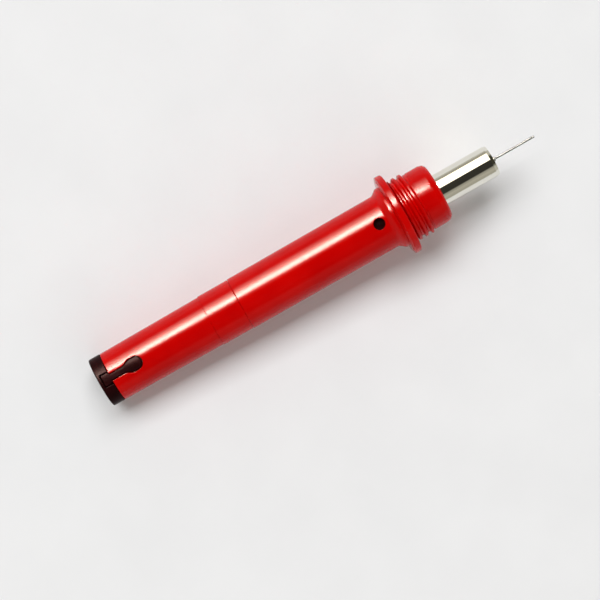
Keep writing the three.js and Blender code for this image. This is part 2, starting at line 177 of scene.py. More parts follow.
def steps(start, end, count):
    """Evenly spaced values with both ends."""
    return [start + (end - start) * i / count for i in range(count + 1)]


def full_turn(start=0.0, count=FACETS):
    """Angles once round, from one angle back to itself."""
    return steps(start, start + 2 * math.pi, count)


def pick(values, centre, reach):
    """The values of a grid that lie within reach of a centre."""
    tiny = 1e-6
    return [v for v in values if abs(v - centre) <= reach + tiny]


def ease(share):
    """A smooth step from 0 to 1."""
    share = min(max(share, 0), 1)
    return share * share * (3 - 2 * share)


def closed(loop):
    """The loop with its first point again at the end."""
    return list(loop) + [loop[0]]


def soften(outline):
    """The outline with each corner that gives a third value rounded to that radius."""
    loop = []
    for i, corner in enumerate(outline):
        here = Vector(corner[:2])
        if len(corner) < 3:
            loop.append(here)
            continue
        behind = Vector(outline[i - 1][:2]) - here
        ahead = Vector(outline[(i + 1) % len(outline)][:2]) - here
        loop += fillet(here, behind, ahead, corner[2])
    return loop


def fillet(here, behind, ahead, radius):
    """A rounded corner between the ways to its two neighbours."""
    half = behind.angle(ahead) / 2
    reach = radius / math.tan(half)
    centre = here + (behind.normalized() + ahead.normalized()).normalized() * radius / math.sin(half)
    start = here + behind.normalized() * reach - centre
    end = here + ahead.normalized() * reach - centre
    arc = [centre + start.slerp(end, share) * radius for share in steps(0, 1, FILLET_STEPS)]
    if behind.length > ROOM * radius:
        arc.insert(0, here + behind.normalized() * (reach + HOLD * radius))
    if ahead.length > ROOM * radius:
        arc.append(here + ahead.normalized() * (reach + HOLD * radius))
    return arc


def drop(distance, edge):
    """How far a rounded edge has fallen, at a distance inside the wall's end."""
    gap = min(max(edge - distance, 0), edge)
    return edge - math.sqrt(edge * edge - gap * gap)


def wall_stations(end, rest, count, edge):
    """Stations from a wall's rounded end to the rest of it, close together over the rounding."""
    side = math.copysign(edge, rest - end)
    rounding = [end + side * (1 - math.cos(t)) for t in steps(0, math.pi / 2, FILLET_STEPS)]
    return rounding[:-1] + steps(end + side, rest, count)


# ------------------------------------------------------------------ meshes

def show(name, data):
    """Puts a mesh in the scene."""
    made = bpy.data.objects.new(name, data)
    bpy.context.scene.collection.objects.link(made)
    return made


def shade(data):
    """Smooth shading, with the sharper edges kept crisp."""
    data.shade_smooth()
    data.set_sharp_from_angle(angle=SHARP)


class Skin:
    """Collects grids of points as faces, and welds them into one mesh that stands for a node."""

    def __init__(self):
        self.mesh = bmesh.new()

    def grid(self, rows):
        """Quads between rows of points."""
        made = [[self.mesh.verts.new(p) for p in row] for row in rows]
        for upper, lower in zip(made, made[1:]):
            for corners in zip(upper, upper[1:], lower[1:], lower):
                self.mesh.faces.new(corners)

    def face(self, points):
        """One flat face."""
        self.mesh.faces.new([self.mesh.verts.new(p) for p in points])

    def sweep(self, outline, angles):
        """Turns an outline of (station, radius) points round the axis."""
        for (x0, r0), (x1, r1) in zip(outline, outline[1:]):
            if r0 > 0 or r1 > 0:
                self.grid([[polar(x0, r0, a) for a in angles], [polar(x1, r1, a) for a in angles]])

    def block(self, low, high):
        """A closed block between two corners."""
        (x0, y0, z0), (x1, y1, z1) = low, high
        rim = [(x0, y0), (x1, y0), (x1, y1), (x0, y1)]
        under = [point(x, y, z0) for x, y in rim]
        over = [point(x, y, z1) for x, y in rim]
        self.grid([closed(under), closed(over)])
        self.face(under)
        self.face(over)

    def data(self, name):
        """The welded mesh, with its faces turned outwards."""
        bmesh.ops.remove_doubles(self.mesh, verts=self.mesh.verts, dist=WELD)
        bmesh.ops.recalc_face_normals(self.mesh, faces=self.mesh.faces)
        data = bpy.data.meshes.new(name)
        self.mesh.to_mesh(data)
        self.mesh.free()
        shade(data)
        return data

    def stand_for(self, node):
        """Makes the piece that replaces a CAD node, on the node's own body and in its own finish."""
        name = node + "_skin"
        made = show(name, self.data(name))
        made.data.materials.append(LOOKS[SLOTS[node]])
        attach(made, BODIES[node])
        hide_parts(node)
        return made


def turned(node, outline, facets=FACETS):
    """Replaces a node by a piece of revolution. Its outline is a loop, or starts and ends on the axis."""
    skin = Skin()
    skin.sweep(closed(soften(outline)), full_turn(count=facets))
    return skin.stand_for(node)


def carve(target, *corner_pairs):
    """Cuts blocks out of a piece."""
    for low, high in corner_pairs:
        skin = Skin()
        skin.block(low, high)
        cutter = show("cutter", skin.data("cutter"))
        cut = target.modifiers.new("cut", "BOOLEAN")
        cut.object = cutter
        cut.solver = "EXACT"
        depsgraph = bpy.context.evaluated_depsgraph_get()
        shaped = bpy.data.meshes.new_from_object(target.evaluated_get(depsgraph))
        target.modifiers.clear()
        target.data = shaped
        bpy.data.objects.remove(cutter)
    shade(target.data)


# ------------------------------------------------------------------ holes in a round wall

def lengths_along(path):
    """Each point's distance along a path."""
    lengths = [0.0]
    for a, b in zip(path, path[1:]):
        lengths.append(lengths[-1] + (b - a).length)
    return lengths


def along(path, share):
    """The point at that share of a path's length."""
    tiny = 1e-9
    lengths = lengths_along(path)
    wanted = share * lengths[-1]
    for i in range(1, len(path)):
        if lengths[i] >= wanted - tiny:
            part = (wanted - lengths[i - 1]) / max(lengths[i] - lengths[i - 1], tiny)
            return path[i - 1].lerp(path[i], min(max(part, 0), 1))
    return path[-1].copy()


class Window:
    """A hole through a round wall, with rings of faces out to a rectangle of the wall's own grid.

    The path is the hole's rim seen along a line through the axis, in (station, offset) points. It starts on
    the +Y side at the first station. An open window's hole runs out of the wall there.
    """

    RINGS = 4

    REACH = 0.004  # share of the path on either side that gives the rim's direction

    def __init__(self, xs, angles, path, lip, centre=0.0, is_open=False):
        self.xs = xs
        self.angles = angles
        self.path = path
        self.lip = lip
        self.centre = centre
        self.is_open = is_open
        turning = sum(a.x * b.y - b.x * a.y for a, b in zip(path, closed(path)[1:]))
        self.side = -math.copysign(1, turning)

    def spans(self, a0, a1):
        """Whether the rectangle covers these angles."""
        return self.angles[0] <= a0 and a1 <= self.angles[-1]

    def holds(self, x0, x1, a0, a1):
        """Whether a face of the wall's grid lies in the rectangle."""
        low, high = min(self.xs), max(self.xs)
        return low <= min(x0, x1) and max(x0, x1) <= high and self.spans(a0, a1)

    def border(self):
        """The rectangle's edge as (station, angle) points, from the first station on the +Y side."""
        low, high = self.angles[0], self.angles[-1]
        edge = [Vector((x, high)) for x in self.xs]
        edge += [Vector((self.xs[-1], a)) for a in reversed(self.angles[:-1])]
        edge += [Vector((x, low)) for x in reversed(self.xs[:-1])]
        if not self.is_open:
            edge += [Vector((self.xs[0], a)) for a in self.angles[1:]]
        return edge

    def build(self, skin, outer, inner):
        """Adds the wall round the hole, its rounded lip and the hole's own wall."""
        edge = self.border()
        lengths = lengths_along([Vector((p.x, outer(p.x) * (p.y - self.centre))) for p in edge])
        marks = [length / lengths[-1] for length in lengths]
        rims = [along(self.path, mark) for mark in marks]
        outward = [self.outward(mark) for mark in marks]
        lipped = [rim + away * self.lip for rim, away in zip(rims, outward)]
        upper = [self.ring(edge, lipped, mix, outer) for mix in steps(0, 1, self.RINGS)]
        for turn in steps(0, math.pi / 2, FILLET_STEPS)[1:]:
            spots = [rim + away * self.lip * (1 - math.sin(turn)) for rim, away in zip(rims, outward)]
            upper.append([self.at(spot, outer(spot.x), self.lip * (1 - math.cos(turn))) for spot in spots])
        lower = [self.ring(edge, rims, mix, inner) for mix in steps(0, 1, len(upper) - 1)]
        skin.grid(upper)
        skin.grid(lower)
        skin.grid([upper[-1], lower[-1]])
        if self.is_open:
            for end in (0, -1):
                skin.grid([[ring[end] for ring in upper], [ring[end] for ring in lower]])

    def outward(self, share):
        """Away from the hole, in the plane of the path."""
        before, after = share - self.REACH, share + self.REACH
        if self.is_open:
            before, after = max(before, 0), min(after, 1)
        ahead = along(self.path, after % 1 or 1) - along(self.path, before % 1)
        return Vector((-ahead.y, ahead.x)).normalized() * self.side

    def ring(self, edge, rims, mix, radius):
        """Points part of the way from the rectangle's edge to the rim."""
        ring = []
        for corner, rim in zip(edge, rims):
            target = Vector((rim.x, self.centre + math.asin(rim.y / radius(rim.x))))
            spot = corner.lerp(target, mix)
            ring.append(polar(spot.x, radius(spot.x), spot.y))
        return ring

    def at(self, spot, radius, fallen):
        """The place over a spot of the path's plane, a little under the surface."""
        height = math.sqrt(radius * radius - spot.y * spot.y) - fallen
        return polar(spot.x, math.hypot(height, spot.y), self.centre + math.atan2(spot.y, height))


def walled(skin, xs, angles, outer, inner, windows):
    """A round wall's outside and inside with its windows, and its end where a window is open."""
    for radius in (outer, inner):
        for x0, x1 in zip(xs, xs[1:]):
            for a0, a1 in zip(angles, angles[1:]):
                if not any(w.holds(x0, x1, a0, a1) for w in windows):
                    corners = (x0, a0), (x1, a0), (x1, a1), (x0, a1)
                    skin.face([polar(x, radius(x), a) for x, a in corners])
    for window in windows:
        window.build(skin, outer, inner)
        if window.is_open:
            end = xs[0]
            solid = [(a0, a1) for a0, a1 in zip(angles, angles[1:]) if not window.spans(a0, a1)]
            for pair in solid:
                skin.grid([[polar(end, radius(end), a) for a in pair] for radius in (outer, inner)])


def circle_path(at, radius, count=96):
    """A hole's rim, from its rear end on the +Y side."""
    turns = [math.radians(135) - t for t in steps(0, 2 * math.pi, count)]
    return [Vector((at + radius * math.cos(t), radius * math.sin(t))) for t in turns]


def keyhole_half(back, stem, head, head_back, taper, end, count=24):
    """The +Y edge of a keyhole seen from above, as (station, half width) from the stem's rear to the tip."""
    edge = [Vector((back, stem)), Vector((head_back, stem))]
    for share in steps(0, 1, count):
        edge.append(Vector((head_back + taper * share, stem + (head - stem) * ease(share))))
    for t in steps(0, math.pi / 2, count):
        edge.append(Vector((end - head + head * math.sin(t), head * math.cos(t))))
    return edge


def both_sides(half):
    """A path out along one edge and back along its mirror image."""
    return half + [Vector((p.x, -p.y)) for p in reversed(half)]


# ------------------------------------------------------------------ materials

def nodes_of(name, colour, roughness, metallic):
    """A material with a principled shader whose plain values are set on its own sockets."""
    material = bpy.data.materials.new(name)
    material.use_nodes = True
    tree = material.node_tree
    shader = tree.nodes["Principled BSDF"]
    shader.inputs["Base Color"].default_value = (*colour, 1)
    shader.inputs["Roughness"].default_value = roughness
    shader.inputs["Metallic"].default_value = metallic
    place = tree.nodes.new("ShaderNodeTexCoord").outputs["Object"]
    return material, tree, shader, place


def noise(tree, place, stretch, scale, detail=3.0):
    """A noise pattern in object space, with its grain stretched along the axes."""
    mapping = tree.nodes.new("ShaderNodeMapping")
    mapping.inputs["Scale"].default_value = stretch
    tree.links.new(place, mapping.inputs["Vector"])
    made = tree.nodes.new("ShaderNodeTexNoise")
    made.inputs["Scale"].default_value = scale
    made.inputs["Detail"].default_value = detail
    tree.links.new(mapping.outputs["Vector"], made.inputs["Vector"])
    return made.outputs["Fac"]


def between(tree, pattern, low, high):
    """The pattern spread between two values."""
    spread = tree.nodes.new("ShaderNodeMapRange")
    spread.inputs["From Min"].default_value = 0.3
    spread.inputs["From Max"].default_value = 0.7
    spread.inputs["To Min"].default_value = low
    spread.inputs["To Max"].default_value = high
    tree.links.new(pattern, spread.inputs["Value"])
    return spread.outputs["Result"]


def tint(tree, shader, pattern, dark, light):
    """Base colour that wanders between two shades."""
    ramp = tree.nodes.new("ShaderNodeValToRGB")
    ramp.color_ramp.elements[0].position = 0.35
    ramp.color_ramp.elements[0].color = (*dark, 1)
    ramp.color_ramp.elements[1].position = 0.65
    ramp.color_ramp.elements[1].color = (*light, 1)
    tree.links.new(pattern, ramp.inputs["Fac"])
    tree.links.new(ramp.outputs["Color"], shader.inputs["Base Color"])


def relief(tree, shader, patterns):
    """Bump layers as (pattern, strength, depth in millimetres), one on the other."""
    last = None
    for pattern, strength, depth in patterns:
        bump = tree.nodes.new("ShaderNodeBump")
        bump.inputs["Strength"].default_value = strength
        bump.inputs["Distance"].default_value = depth * MM
        tree.links.new(pattern, bump.inputs["Height"])
        if last:
            tree.links.new(last, bump.inputs["Normal"])
        last = bump.outputs["Normal"]
    tree.links.new(last, shader.inputs["Normal"])


def red_plastic():
    """Glossy moulded plastic with a faint ripple."""
    material, tree, shader, place = nodes_of("red_plastic", (0.51, 0.0, 0.0), 0.1, 0)
    shader.inputs["Specular IOR Level"].default_value = 0.13
    cloud = noise(tree, place, (1, 1, 1), 60)
    tint(tree, shader, cloud, (0.475, 0.0, 0.0), (0.545, 0.001, 0.0005))
    streaks = noise(tree, place, (12, 160, 160), 9, 4)
    tree.links.new(between(tree, streaks, 0.07, 0.13), shader.inputs["Roughness"])
    peel = noise(tree, place, (1, 1, 1), 900, 2)
    ripple = noise(tree, place, (1, 1, 1), 140, 1)
    relief(tree, shader, [(ripple, 0.12, 0.06), (peel, 0.06, 0.02)])
    return material


def black_plastic():
    """Black moulded plastic with a fine grain."""
    material, tree, shader, place = nodes_of("black_plastic", (0.014, 0.0018, 0.0022), 0.32, 0)
    shader.inputs["Specular IOR Level"].default_value = 0.025
    cloud = noise(tree, place, (1, 1, 1), 250)
    tint(tree, shader, cloud, (0.011, 0.0015, 0.0018), (0.017, 0.002, 0.0025))
    tree.links.new(between(tree, cloud, 0.28, 0.36), shader.inputs["Roughness"])
    grain = noise(tree, place, (1, 1, 1), 2600, 2)
    relief(tree, shader, [(grain, 0.25, 0.03)])
    return material


def chrome():
    """Bright plating with a trace of turning lines."""
    material, tree, shader, place = nodes_of("chrome", (0.8, 0.785, 0.71), 0.05, 1)
    haze = noise(tree, place, (1, 1, 1), 220)
    tree.links.new(between(tree, haze, 0.04, 0.09), shader.inputs["Roughness"])
    lines = noise(tree, place, (60, 0.4, 0.4), 220, 2)
    relief(tree, shader, [(lines, 0.06, 0.01)])
    return material


def ground_metal(name, colour, low, high, across=(60, 0.4, 0.4)):
    """A turned or drawn metal with fine lines across one direction."""
    material, tree, shader, place = nodes_of(name, colour, (low + high) / 2, 1)
    lines = noise(tree, place, across, 160, 4)
    tree.links.new(between(tree, lines, low, high), shader.inputs["Roughness"])
    cloud = noise(tree, place, (1, 1, 1), 180)
    tint(tree, shader, cloud, tuple(c * 0.85 for c in colour), tuple(min(c * 1.1, 1) for c in colour))
    relief(tree, shader, [(lines, 0.25, 0.015)])
    return material


def soft_solid(name, colour, roughness, grain_size, depth):
    """A matt moulded or turned plastic, or rubber."""
    material, tree, shader, place = nodes_of(name, colour, roughness, 0)
    cloud = noise(tree, place, (1, 1, 1), 300)
    tint(tree, shader, cloud, tuple(c * 0.88 for c in colour), tuple(min(c * 1.08, 1) for c in colour))
    grain = noise(tree, place, (1, 1, 1), grain_size, 2)
    spread = between(tree, grain, roughness * 0.85, roughness * 1.15)
    tree.links.new(spread, shader.inputs["Roughness"])
    relief(tree, shader, [(grain, 0.3, depth)])
    return material


LOOKS = {
    "red_plastic": red_plastic(),
    "black_plastic": black_plastic(),
    "chrome": chrome(),
    "steel": ground_metal("steel", (0.3, 0.295, 0.28), 0.26, 0.4),
    "spring_steel": ground_metal("spring_steel", (0.17, 0.17, 0.175), 0.25, 0.4),
    "brass": ground_metal("brass", (0.62, 0.44, 0.18), 0.2, 0.35),
    "acetal": soft_solid("acetal", (0.8, 0.78, 0.72), 0.42, 900, 0.02),
    "rubber": soft_solid("rubber", (0.018, 0.017, 0.017), 0.62, 1500, 0.03),
}


# ------------------------------------------------------------------ barrel

def make_end_ring():
    """The black ring, with a notch for the lever's tail behind its front face, and its spigot."""
    back, spigot_end, radius = SPANS["end_ring"]
    hole, end, wall = RING["hole"], RING["end"], RING["wall"]
    xs = wall_stations(end, wall - RING["flat"], STATIONS["ring"], EDGE)
    angles = full_turn(-math.pi / 2)

    def outer(x):
        return radius - drop(end - x, EDGE)

    def inner(_):
        return hole

    half = soften([(end, RING["notch"]), (wall, RING["notch"], RING["corner"]), (wall, 0)])
    notch = Window(xs, pick(angles, 0, FIELD_ANGLE["slot"]), both_sides(half[:-1]), EDGE, is_open=True)
    skin = Skin()
    walled(skin, xs, angles, outer, inner, [notch])
    rear = [(xs[-1], radius), (back, radius, RING["edge"]), (back, hole, RING["edge"]), (xs[-1], hole)]
    skin.sweep(soften(rear), angles)
    channel(skin, end - SUNK["spigot"], SLOT["head_back"], SPIGOT["radius"], hole, SPIGOT["stem"])
    channel(skin, SLOT["head_back"], spigot_end, SPIGOT["radius"], hole, SPIGOT["head"])
    skin.stand_for("end_ring")


def channel(skin, back, front, outer, inner, gap):
    """A tube that is open along its top between two planes."""
    rows = []
    for x, radius in closed([(back, outer), (front, outer), (front, inner), (back, inner)]):
        start = math.asin(gap / radius)
        rows.append([polar(x, radius, a) for a in steps(start, 2 * math.pi - start, FACETS)])
    skin.grid(rows)
    for end in (0, -1):
        skin.face([row[end] for row in rows[:-1]])


def make_rear_barrel():
    """A tapered tube with the keyhole slot on top and the ring screw's hole underneath."""
    back, front, wide = SPANS["rear_barrel"]
    narrow, bore = REAR_BARREL["radius"], REAR_BARREL["bore"]
    wall_end = back + REAR_BARREL["cut_length"]

    def outer(x):
        return narrow + (wide - narrow) * (x - back) / (front - back) - drop(x - back, EDGE)

    def inner(_):
        return bore

    xs = wall_stations(back, wall_end, STATIONS["slot"], EDGE)
    angles = full_turn(-math.pi / 2)
    reach = FIELD_ANGLE["slot"]
    half = keyhole_half(back, SLOT["stem"], SLOT["head"], SLOT["head_back"], SLOT["taper"], SLOT["end"])
    slot = Window(xs, pick(angles, 0, reach), both_sides(half), SLOT["lip"], is_open=True)
    screw = (SPANS["ring_screw"].back + SPANS["ring_screw"].front) / 2
    rim = circle_path(screw, SCREW_HOLE["radius"])
    field = pick(xs, screw, HOLE_FIELD), pick(angles, math.pi, reach)
    hole = Window(*field, rim, SCREW_HOLE["lip"], centre=math.pi)
    skin = Skin()
    walled(skin, xs, angles, outer, inner, [slot, hole])
    step = front - SOCKET["depth"]
    rest = [
        (wall_end, outer(wall_end)),
        (front, wide, COLLAR["edge"]),
        (front, SOCKET["radius"]),
        (step, SOCKET["radius"]),
        (step, bore),
        (wall_end, bore),
    ]
    skin.sweep(soften(rest), angles)
    skin.stand_for("rear_barrel")


def make_collar():
    """The sleeve between the step and the seam, with a spigot at each end."""
    back, front, radius = SPANS["coupling_collar"]
    spigot, bore = COLLAR["spigot"], COLLAR["bore"]
    rear_edge = SPANS["rear_barrel"].front + COLLAR["gap"]
    front_edge = SPANS["front_barrel"].back - COLLAR["gap"]
    outline = [
        (back, spigot, EDGE),
        (rear_edge, spigot),
        (rear_edge, radius, COLLAR["edge"]),
        (front_edge, radius, COLLAR["groove"]),
        (front_edge, spigot),
        (front, spigot, EDGE),
        (front, bore),
        (back, bore),
    ]
    turned("coupling_collar", outline)


def front_radius(x):
    """The front barrel's radius up to the flange, with the flare at its end."""
    back = SPANS["front_barrel"].back
    slope = (FRONT["radius"] - FRONT["back_radius"]) / (FLARE["back"] - back)
    plain = FRONT["back_radius"] + slope * (min(x, FLARE["back"]) - back)
    return plain + (FLARE["radius"] - plain) * ease((x - FLARE["back"]) / (FLARE["front"] - FLARE["back"]))


def thread_radius(x, angle):
    """The thread's rounded ridge, fading out at both ends."""
    turns = (x - HELIX["first"]) / HELIX["pitch"] + angle / (2 * math.pi)
    ridge = ease(HELIX["crown"] - HELIX["steepness"] * abs(turns - round(turns)))
    fade = ease(min(x - THREAD["back"], THREAD["front"] - x) / HELIX["fade"])
    return THREAD["minor"] + (THREAD["major"] - THREAD["minor"]) * ridge * fade


def make_front_barrel():
    """The long tube with the vent hole, the flare, the flange, the thread and the smooth front ring."""
    back, front, rim = SPANS["front_barrel"]
    bore, narrow, minor = FRONT["bore"], FRONT["narrow"], THREAD["minor"]

    def inner(_):
        return narrow

    wall_back, wall_front = VENT["at"] - HOLE_FIELD, VENT["at"] + HOLE_FIELD
    xs = steps(wall_back, wall_front, STATIONS["vent"])
    angles = full_turn(-math.pi)
    path = circle_path(VENT["at"], VENT["radius"])
    vent = Window(xs, pick(angles, 0, FIELD_ANGLE["vent"]), path, VENT["lip"])
    skin = Skin()
    walled(skin, xs, angles, front_radius, inner, [vent])
    rear_part = [
        (wall_back, front_radius(wall_back)),
        (back, FRONT["back_radius"], COLLAR["groove"]),
        (back, SOCKET["radius"]),
        (back + SOCKET["depth"], SOCKET["radius"]),
        (back + SOCKET["depth"], bore),
        (FRONT["step"], bore),
        (FRONT["step"], narrow),
        (wall_back, narrow),
    ]
    skin.sweep(soften(rear_part), angles)
    flare = steps(wall_front, FLARE["front"], STATIONS["flare"])
    skin.sweep([(x, front_radius(x)) for x in flare], angles)
    groove = FLANGE["front"] - RELIEF["depth"]
    flange = [
        (FLARE["front"], FLARE["radius"]),
        (FLARE["end"], FLARE["radius"], 0.12),
        (FLANGE["back"], FLANGE["root"], 0.3),
        (FLANGE["rim_back"], rim, 0.4),
        (FLANGE["front"], rim, 0.5),
        (FLANGE["front"], RELIEF["radius"], 0.1),
        (groove, RELIEF["radius"] - RELIEF["draft"], 0.15),
        (groove, minor, 0.3),
        (THREAD["back"], minor),
    ]
    skin.sweep(soften(flange), angles)
    thread = steps(THREAD["back"], THREAD["front"], STATIONS["thread"])
    skin.grid([[polar(x, thread_radius(x, a), a) for a in angles] for x in thread])
    neck = [
        (THREAD["front"], minor),
        (NECK["back"], minor),
        (NECK["back"], NECK["radius"], 0.2),
        (front - NECK_EDGE["back"], NECK["radius"], 0.8),
        (front - NECK_EDGE["middle"], NECK["radius"] - NECK_EDGE["shallow"], 0.4),
        (front, NECK["radius"] - NECK_EDGE["deep"], 0.25),
        (front, NECK["bore"], EDGE),
        (NECK["bore_back"], NECK["bore"]),
        (NECK["bore_back"], narrow),
        (wall_front, narrow),
    ]
    skin.sweep(soften(neck), angles)
    skin.stand_for("front_barrel")


def make_gland_nut():
    """The black nut in the neck's mouth, with crossed slots for a key."""
    back, front, radius = SPANS["gland_nut"]
    bore, mouth, half = GLAND["bore"], GLAND["mouth"], GLAND["slot"]
    outline = [
        (back, radius),
        (front, radius, 0.2),
        (front, mouth, 0.1),
        (front - mouth + bore, bore, 0.2),
        (back, bore),
    ]
    nut = turned("gland_nut", outline)
    deep, beyond, wide = front - GLAND["depth"], front + BEYOND, radius + BEYOND
    carve(nut, ((deep, -wide, -half), (beyond, wide, half)), ((deep, -half, -wide), (beyond, half, wide)))


def make_ring_screw():
    """A slotted screw in the barrel's underside. Its outline is in (depth below the axis, radius)."""
    low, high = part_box("ring_screw")
    x = (SPANS["ring_screw"].back + SPANS["ring_screw"].front) / 2
    top = (AXIS - low.z) / MM
    tip = (AXIS - high.z) / MM
    head, shank, half = SPANS["ring_screw"].radius, RING_SCREW["shank"], RING_SCREW["slot"]
    under = top - RING_SCREW["head"]
    outline = [(top, 0), (top, head, 0.25), (under, head), (under, shank), (tip, shank, 0.2), (tip, 0)]
    turn = full_turn(count=SMALL_FACETS)
    rows = []
    for depth, radius in soften(outline):
        rows.append([point(x + radius * math.sin(a), radius * math.cos(a), -depth) for a in turn])
    skin = Skin()
    skin.grid(rows)
    screw = skin.stand_for("ring_screw")
    wide = head + BEYOND
    carve(screw, ((x - half, -wide, -top - BEYOND), (x + half, wide, RING_SCREW["deep"] - top)))


# ------------------------------------------------------------------ release lever

def lever_edge():
    """The lever seen from above, as (station, half width) from its tail to its tip."""
    back, tip, _ = SPANS["release_lever"]
    corner, wide, stem = TAIL["corner"], TAIL["width"], LEVER["stem"]
    edge = []
    for t in steps(0, math.pi / 2, LEVER_STEPS["corner"]):
        edge.append(Vector((back + corner * (1 - math.cos(t)), wide - corner * (1 - math.sin(t)))))
    for share in steps(0, 1, LEVER_STEPS["shoulder"]):
        edge.append(Vector((TAIL["end"] + TAIL["shoulder"] * share, wide + (stem - wide) * ease(share))))
    stem_back = TAIL["end"] + 2 * TAIL["shoulder"]
    return edge + keyhole_half(stem_back, stem, LEVER["head"], LEVER["head_back"], SLOT["taper"], tip)


def lever_top(x, y, half):
    """The lever's height over the axis: round like the barrel, crowned at the head, with soft edges."""
    back, tip, _ = SPANS["release_lever"]
    top = LEVER["top"] - LEVER_EDGE["crown"]
    head = LEVER["head"]
    inside = min(half - abs(y), x - back)
    if x > tip - head:
        inside = head - math.hypot(x - tip + head, y)
    swell = LEVER_EDGE["crown"] * ease((x - LEVER["head_back"]) / SLOT["taper"]) * (1 - (y / head) ** 2)
    return math.sqrt(top * top - y * y) + swell - drop(max(inside, 0), LEVER_EDGE["round"])


def make_release_lever():
    """The tongue, its latch tooth and the boss on its pivot."""
    bottom = LEVER["bottom"]
    across = [math.sin(t) for t in steps(-math.pi / 2, math.pi / 2, LEVER_STEPS["across"])]
    rows = []
    for x, half in lever_edge():
        half = max(half, 0)
        upper = [point(x, half * v, lever_top(x, half * v, half)) for v in across]
        rows.append(closed(upper + [point(x, half, bottom), point(x, -half, bottom)]))
    skin = Skin()
    skin.grid(rows)
    skin.face(rows[0][:-1])
    low = (TOOTH["back"], -TOOTH["width"], TOOTH["bottom"])
    skin.block(low, (TOOTH["front"], TOOTH["width"], bottom + SUNK["tooth"]))
    drum(skin, PIVOT["boss"], LEVER["stem"])
    skin.stand_for("release_lever")


def drum(skin, radius, half):
    """A closed cylinder across the pump, on the lever's pivot."""
    rim = []
    for angle in full_turn(count=SMALL_FACETS):
        rim.append((PIVOT["x"] + radius * math.sin(angle), PIVOT["z"] + radius * math.cos(angle)))
    ends = [[point(x, y, z) for x, z in rim] for y in (-half, half)]
    skin.grid(ends)
    for end in ends:
        skin.face(end[:-1])


# ------------------------------------------------------------------ plunger

def make_ram():
    """The bright shell, its end plug, the needle with its ferrule, and the guide behind the shell."""
    back, front, radius = SPANS["ram_shell"]
    bore = RAM["bore"]
    outline = [
        (back, radius, EDGE),
        (front - RAM["bevel"], radius, 0.05),
        (front, radius - RAM["fall"], 0.06),
        (front, bore, 0.08),
        (back, bore),
    ]
    turned("ram_shell", outline)
    back, front, radius = SPANS["ram_plug"]
    hole = SPANS["needle_ferrule"].radius + SLACK["ferrule"]
    turned("ram_plug", [(back, radius), (front, radius, 0.12), (front, hole, 0.08), (back, hole)])
    back, front, radius = SPANS["needle_ferrule"]
    bore = FERRULE["bore"]
    outline = [(back, radius), (front, radius, FERRULE["edge"]), (front, bore), (back, bore)]
    turned("needle_ferrule", outline, SMALL_FACETS)
    back, front, radius = SPANS["cleaning_needle"]
    turned("cleaning_needle", [(back, 0), (back, radius), (front, radius, 0.3), (front, 0)], SMALL_FACETS)
    back, front, radius = SPANS["ram_rear_guide"]
    outline = [(back, radius, 0.3), (front, radius, 0.3), (front, ROD_BORE), (back, ROD_BORE)]
    turned("ram_rear_guide", outline)


def make_knob():
    """The thumb knob with its dish and latch groove, and the screw in the dish."""
    back, front, radius = SPANS["plunger_knob"]
    floor = back + KNOB["dish"]
    groove_back, groove_front, groove = KNOB["groove_back"], KNOB["groove_front"], KNOB["groove"]
    seat = SPANS["plunger_rod"].back - SLACK["rod"]
    outline = [
        (floor, 0),
        (floor, KNOB["floor"], 0.4),
        (back, KNOB["rim"], 0.5),
        (back, radius, 0.45),
        (groove_back, radius, 0.1),
        (groove_back, groove),
        (groove_front, groove),
        (groove_front + radius - groove, radius, 0.1),
        (front, radius, 0.1),
        (front, SLEEVE_BORE),
        (front - KNOB_CONE, ROD_BORE),
        (seat, ROD_BORE),
        (seat, 0),
    ]
    turned("plunger_knob", outline)
    back, front, radius = SPANS["knob_screw"]
    outline = [(back, 0), (back, radius, 0.4), (front, radius), (front, 0)]
    screw = turned("knob_screw", outline, SMALL_FACETS)
    arm, half = KNOB_SCREW["arm"], KNOB_SCREW["half"]
    before, deep = back - BEYOND, back + KNOB_SCREW["deep"]
    carve(screw, ((before, -arm, -half), (deep, arm, half)), ((before, -half, -arm), (deep, half, arm)))


def make_sleeve():
    """The ground tube behind the knob."""
    back, front, radius = SPANS["plunger_sleeve"]
    outline = [(back, radius, 0.1), (front, radius, 0.2), (front, SLEEVE_BORE), (back, SLEEVE_BORE)]
    turned("plunger_sleeve", outline)


# ------------------------------------------------------------------ springs

def spring_place(turn):
    """The main spring's wire, which closes up at both ends."""
    back, front, _ = SPANS["main_spring"]
    wire, end_turns, turns = SPRING["wire"], SPRING["end_turns"], SPRING["turns"]
    shut = 2 * wire * SPRING["closed"] * end_turns
    low, high = back + wire, front - wire
    first = min(turn / end_turns, 1) * shut
    middle = min(max((turn - end_turns) / turns, 0), 1) * (high - low - 2 * shut)
    last = min(max((turn - end_turns - turns) / end_turns, 0), 1) * shut
    return polar(low + first + middle + last, SPRING["coil"], math.pi / 2 - 2 * math.pi * turn)


def make_main_spring():
    """A round wire swept along the coil, with a flat cut at each end."""
    count = SMALL_FACETS * (SPRING["turns"] + 2 * SPRING["end_turns"])
    path = [spring_place(i / SMALL_FACETS) for i in range(count + 1)]
    radius = SPRING["wire"] * MM
    round_wire = full_turn(count=SPRING["facets"])
    skin = Skin()
    rows = []
    for i, place in enumerate(path):
        ahead = (path[min(i + 1, count)] - path[max(i - 1, 0)]).normalized()
        outward = Vector((0, place.y, place.z - AXIS)).normalized()
        across = ahead.cross(outward)
        rows.append([place + (outward * math.cos(a) + across * math.sin(a)) * radius for a in round_wire])
    skin.grid(rows)
    for row in (rows[0], rows[-1]):
        skin.face(row[:-1])
    stretch(skin, "main_spring", "plunger", "barrel", SPANS["main_spring"].back, SPANS["main_spring"].front)


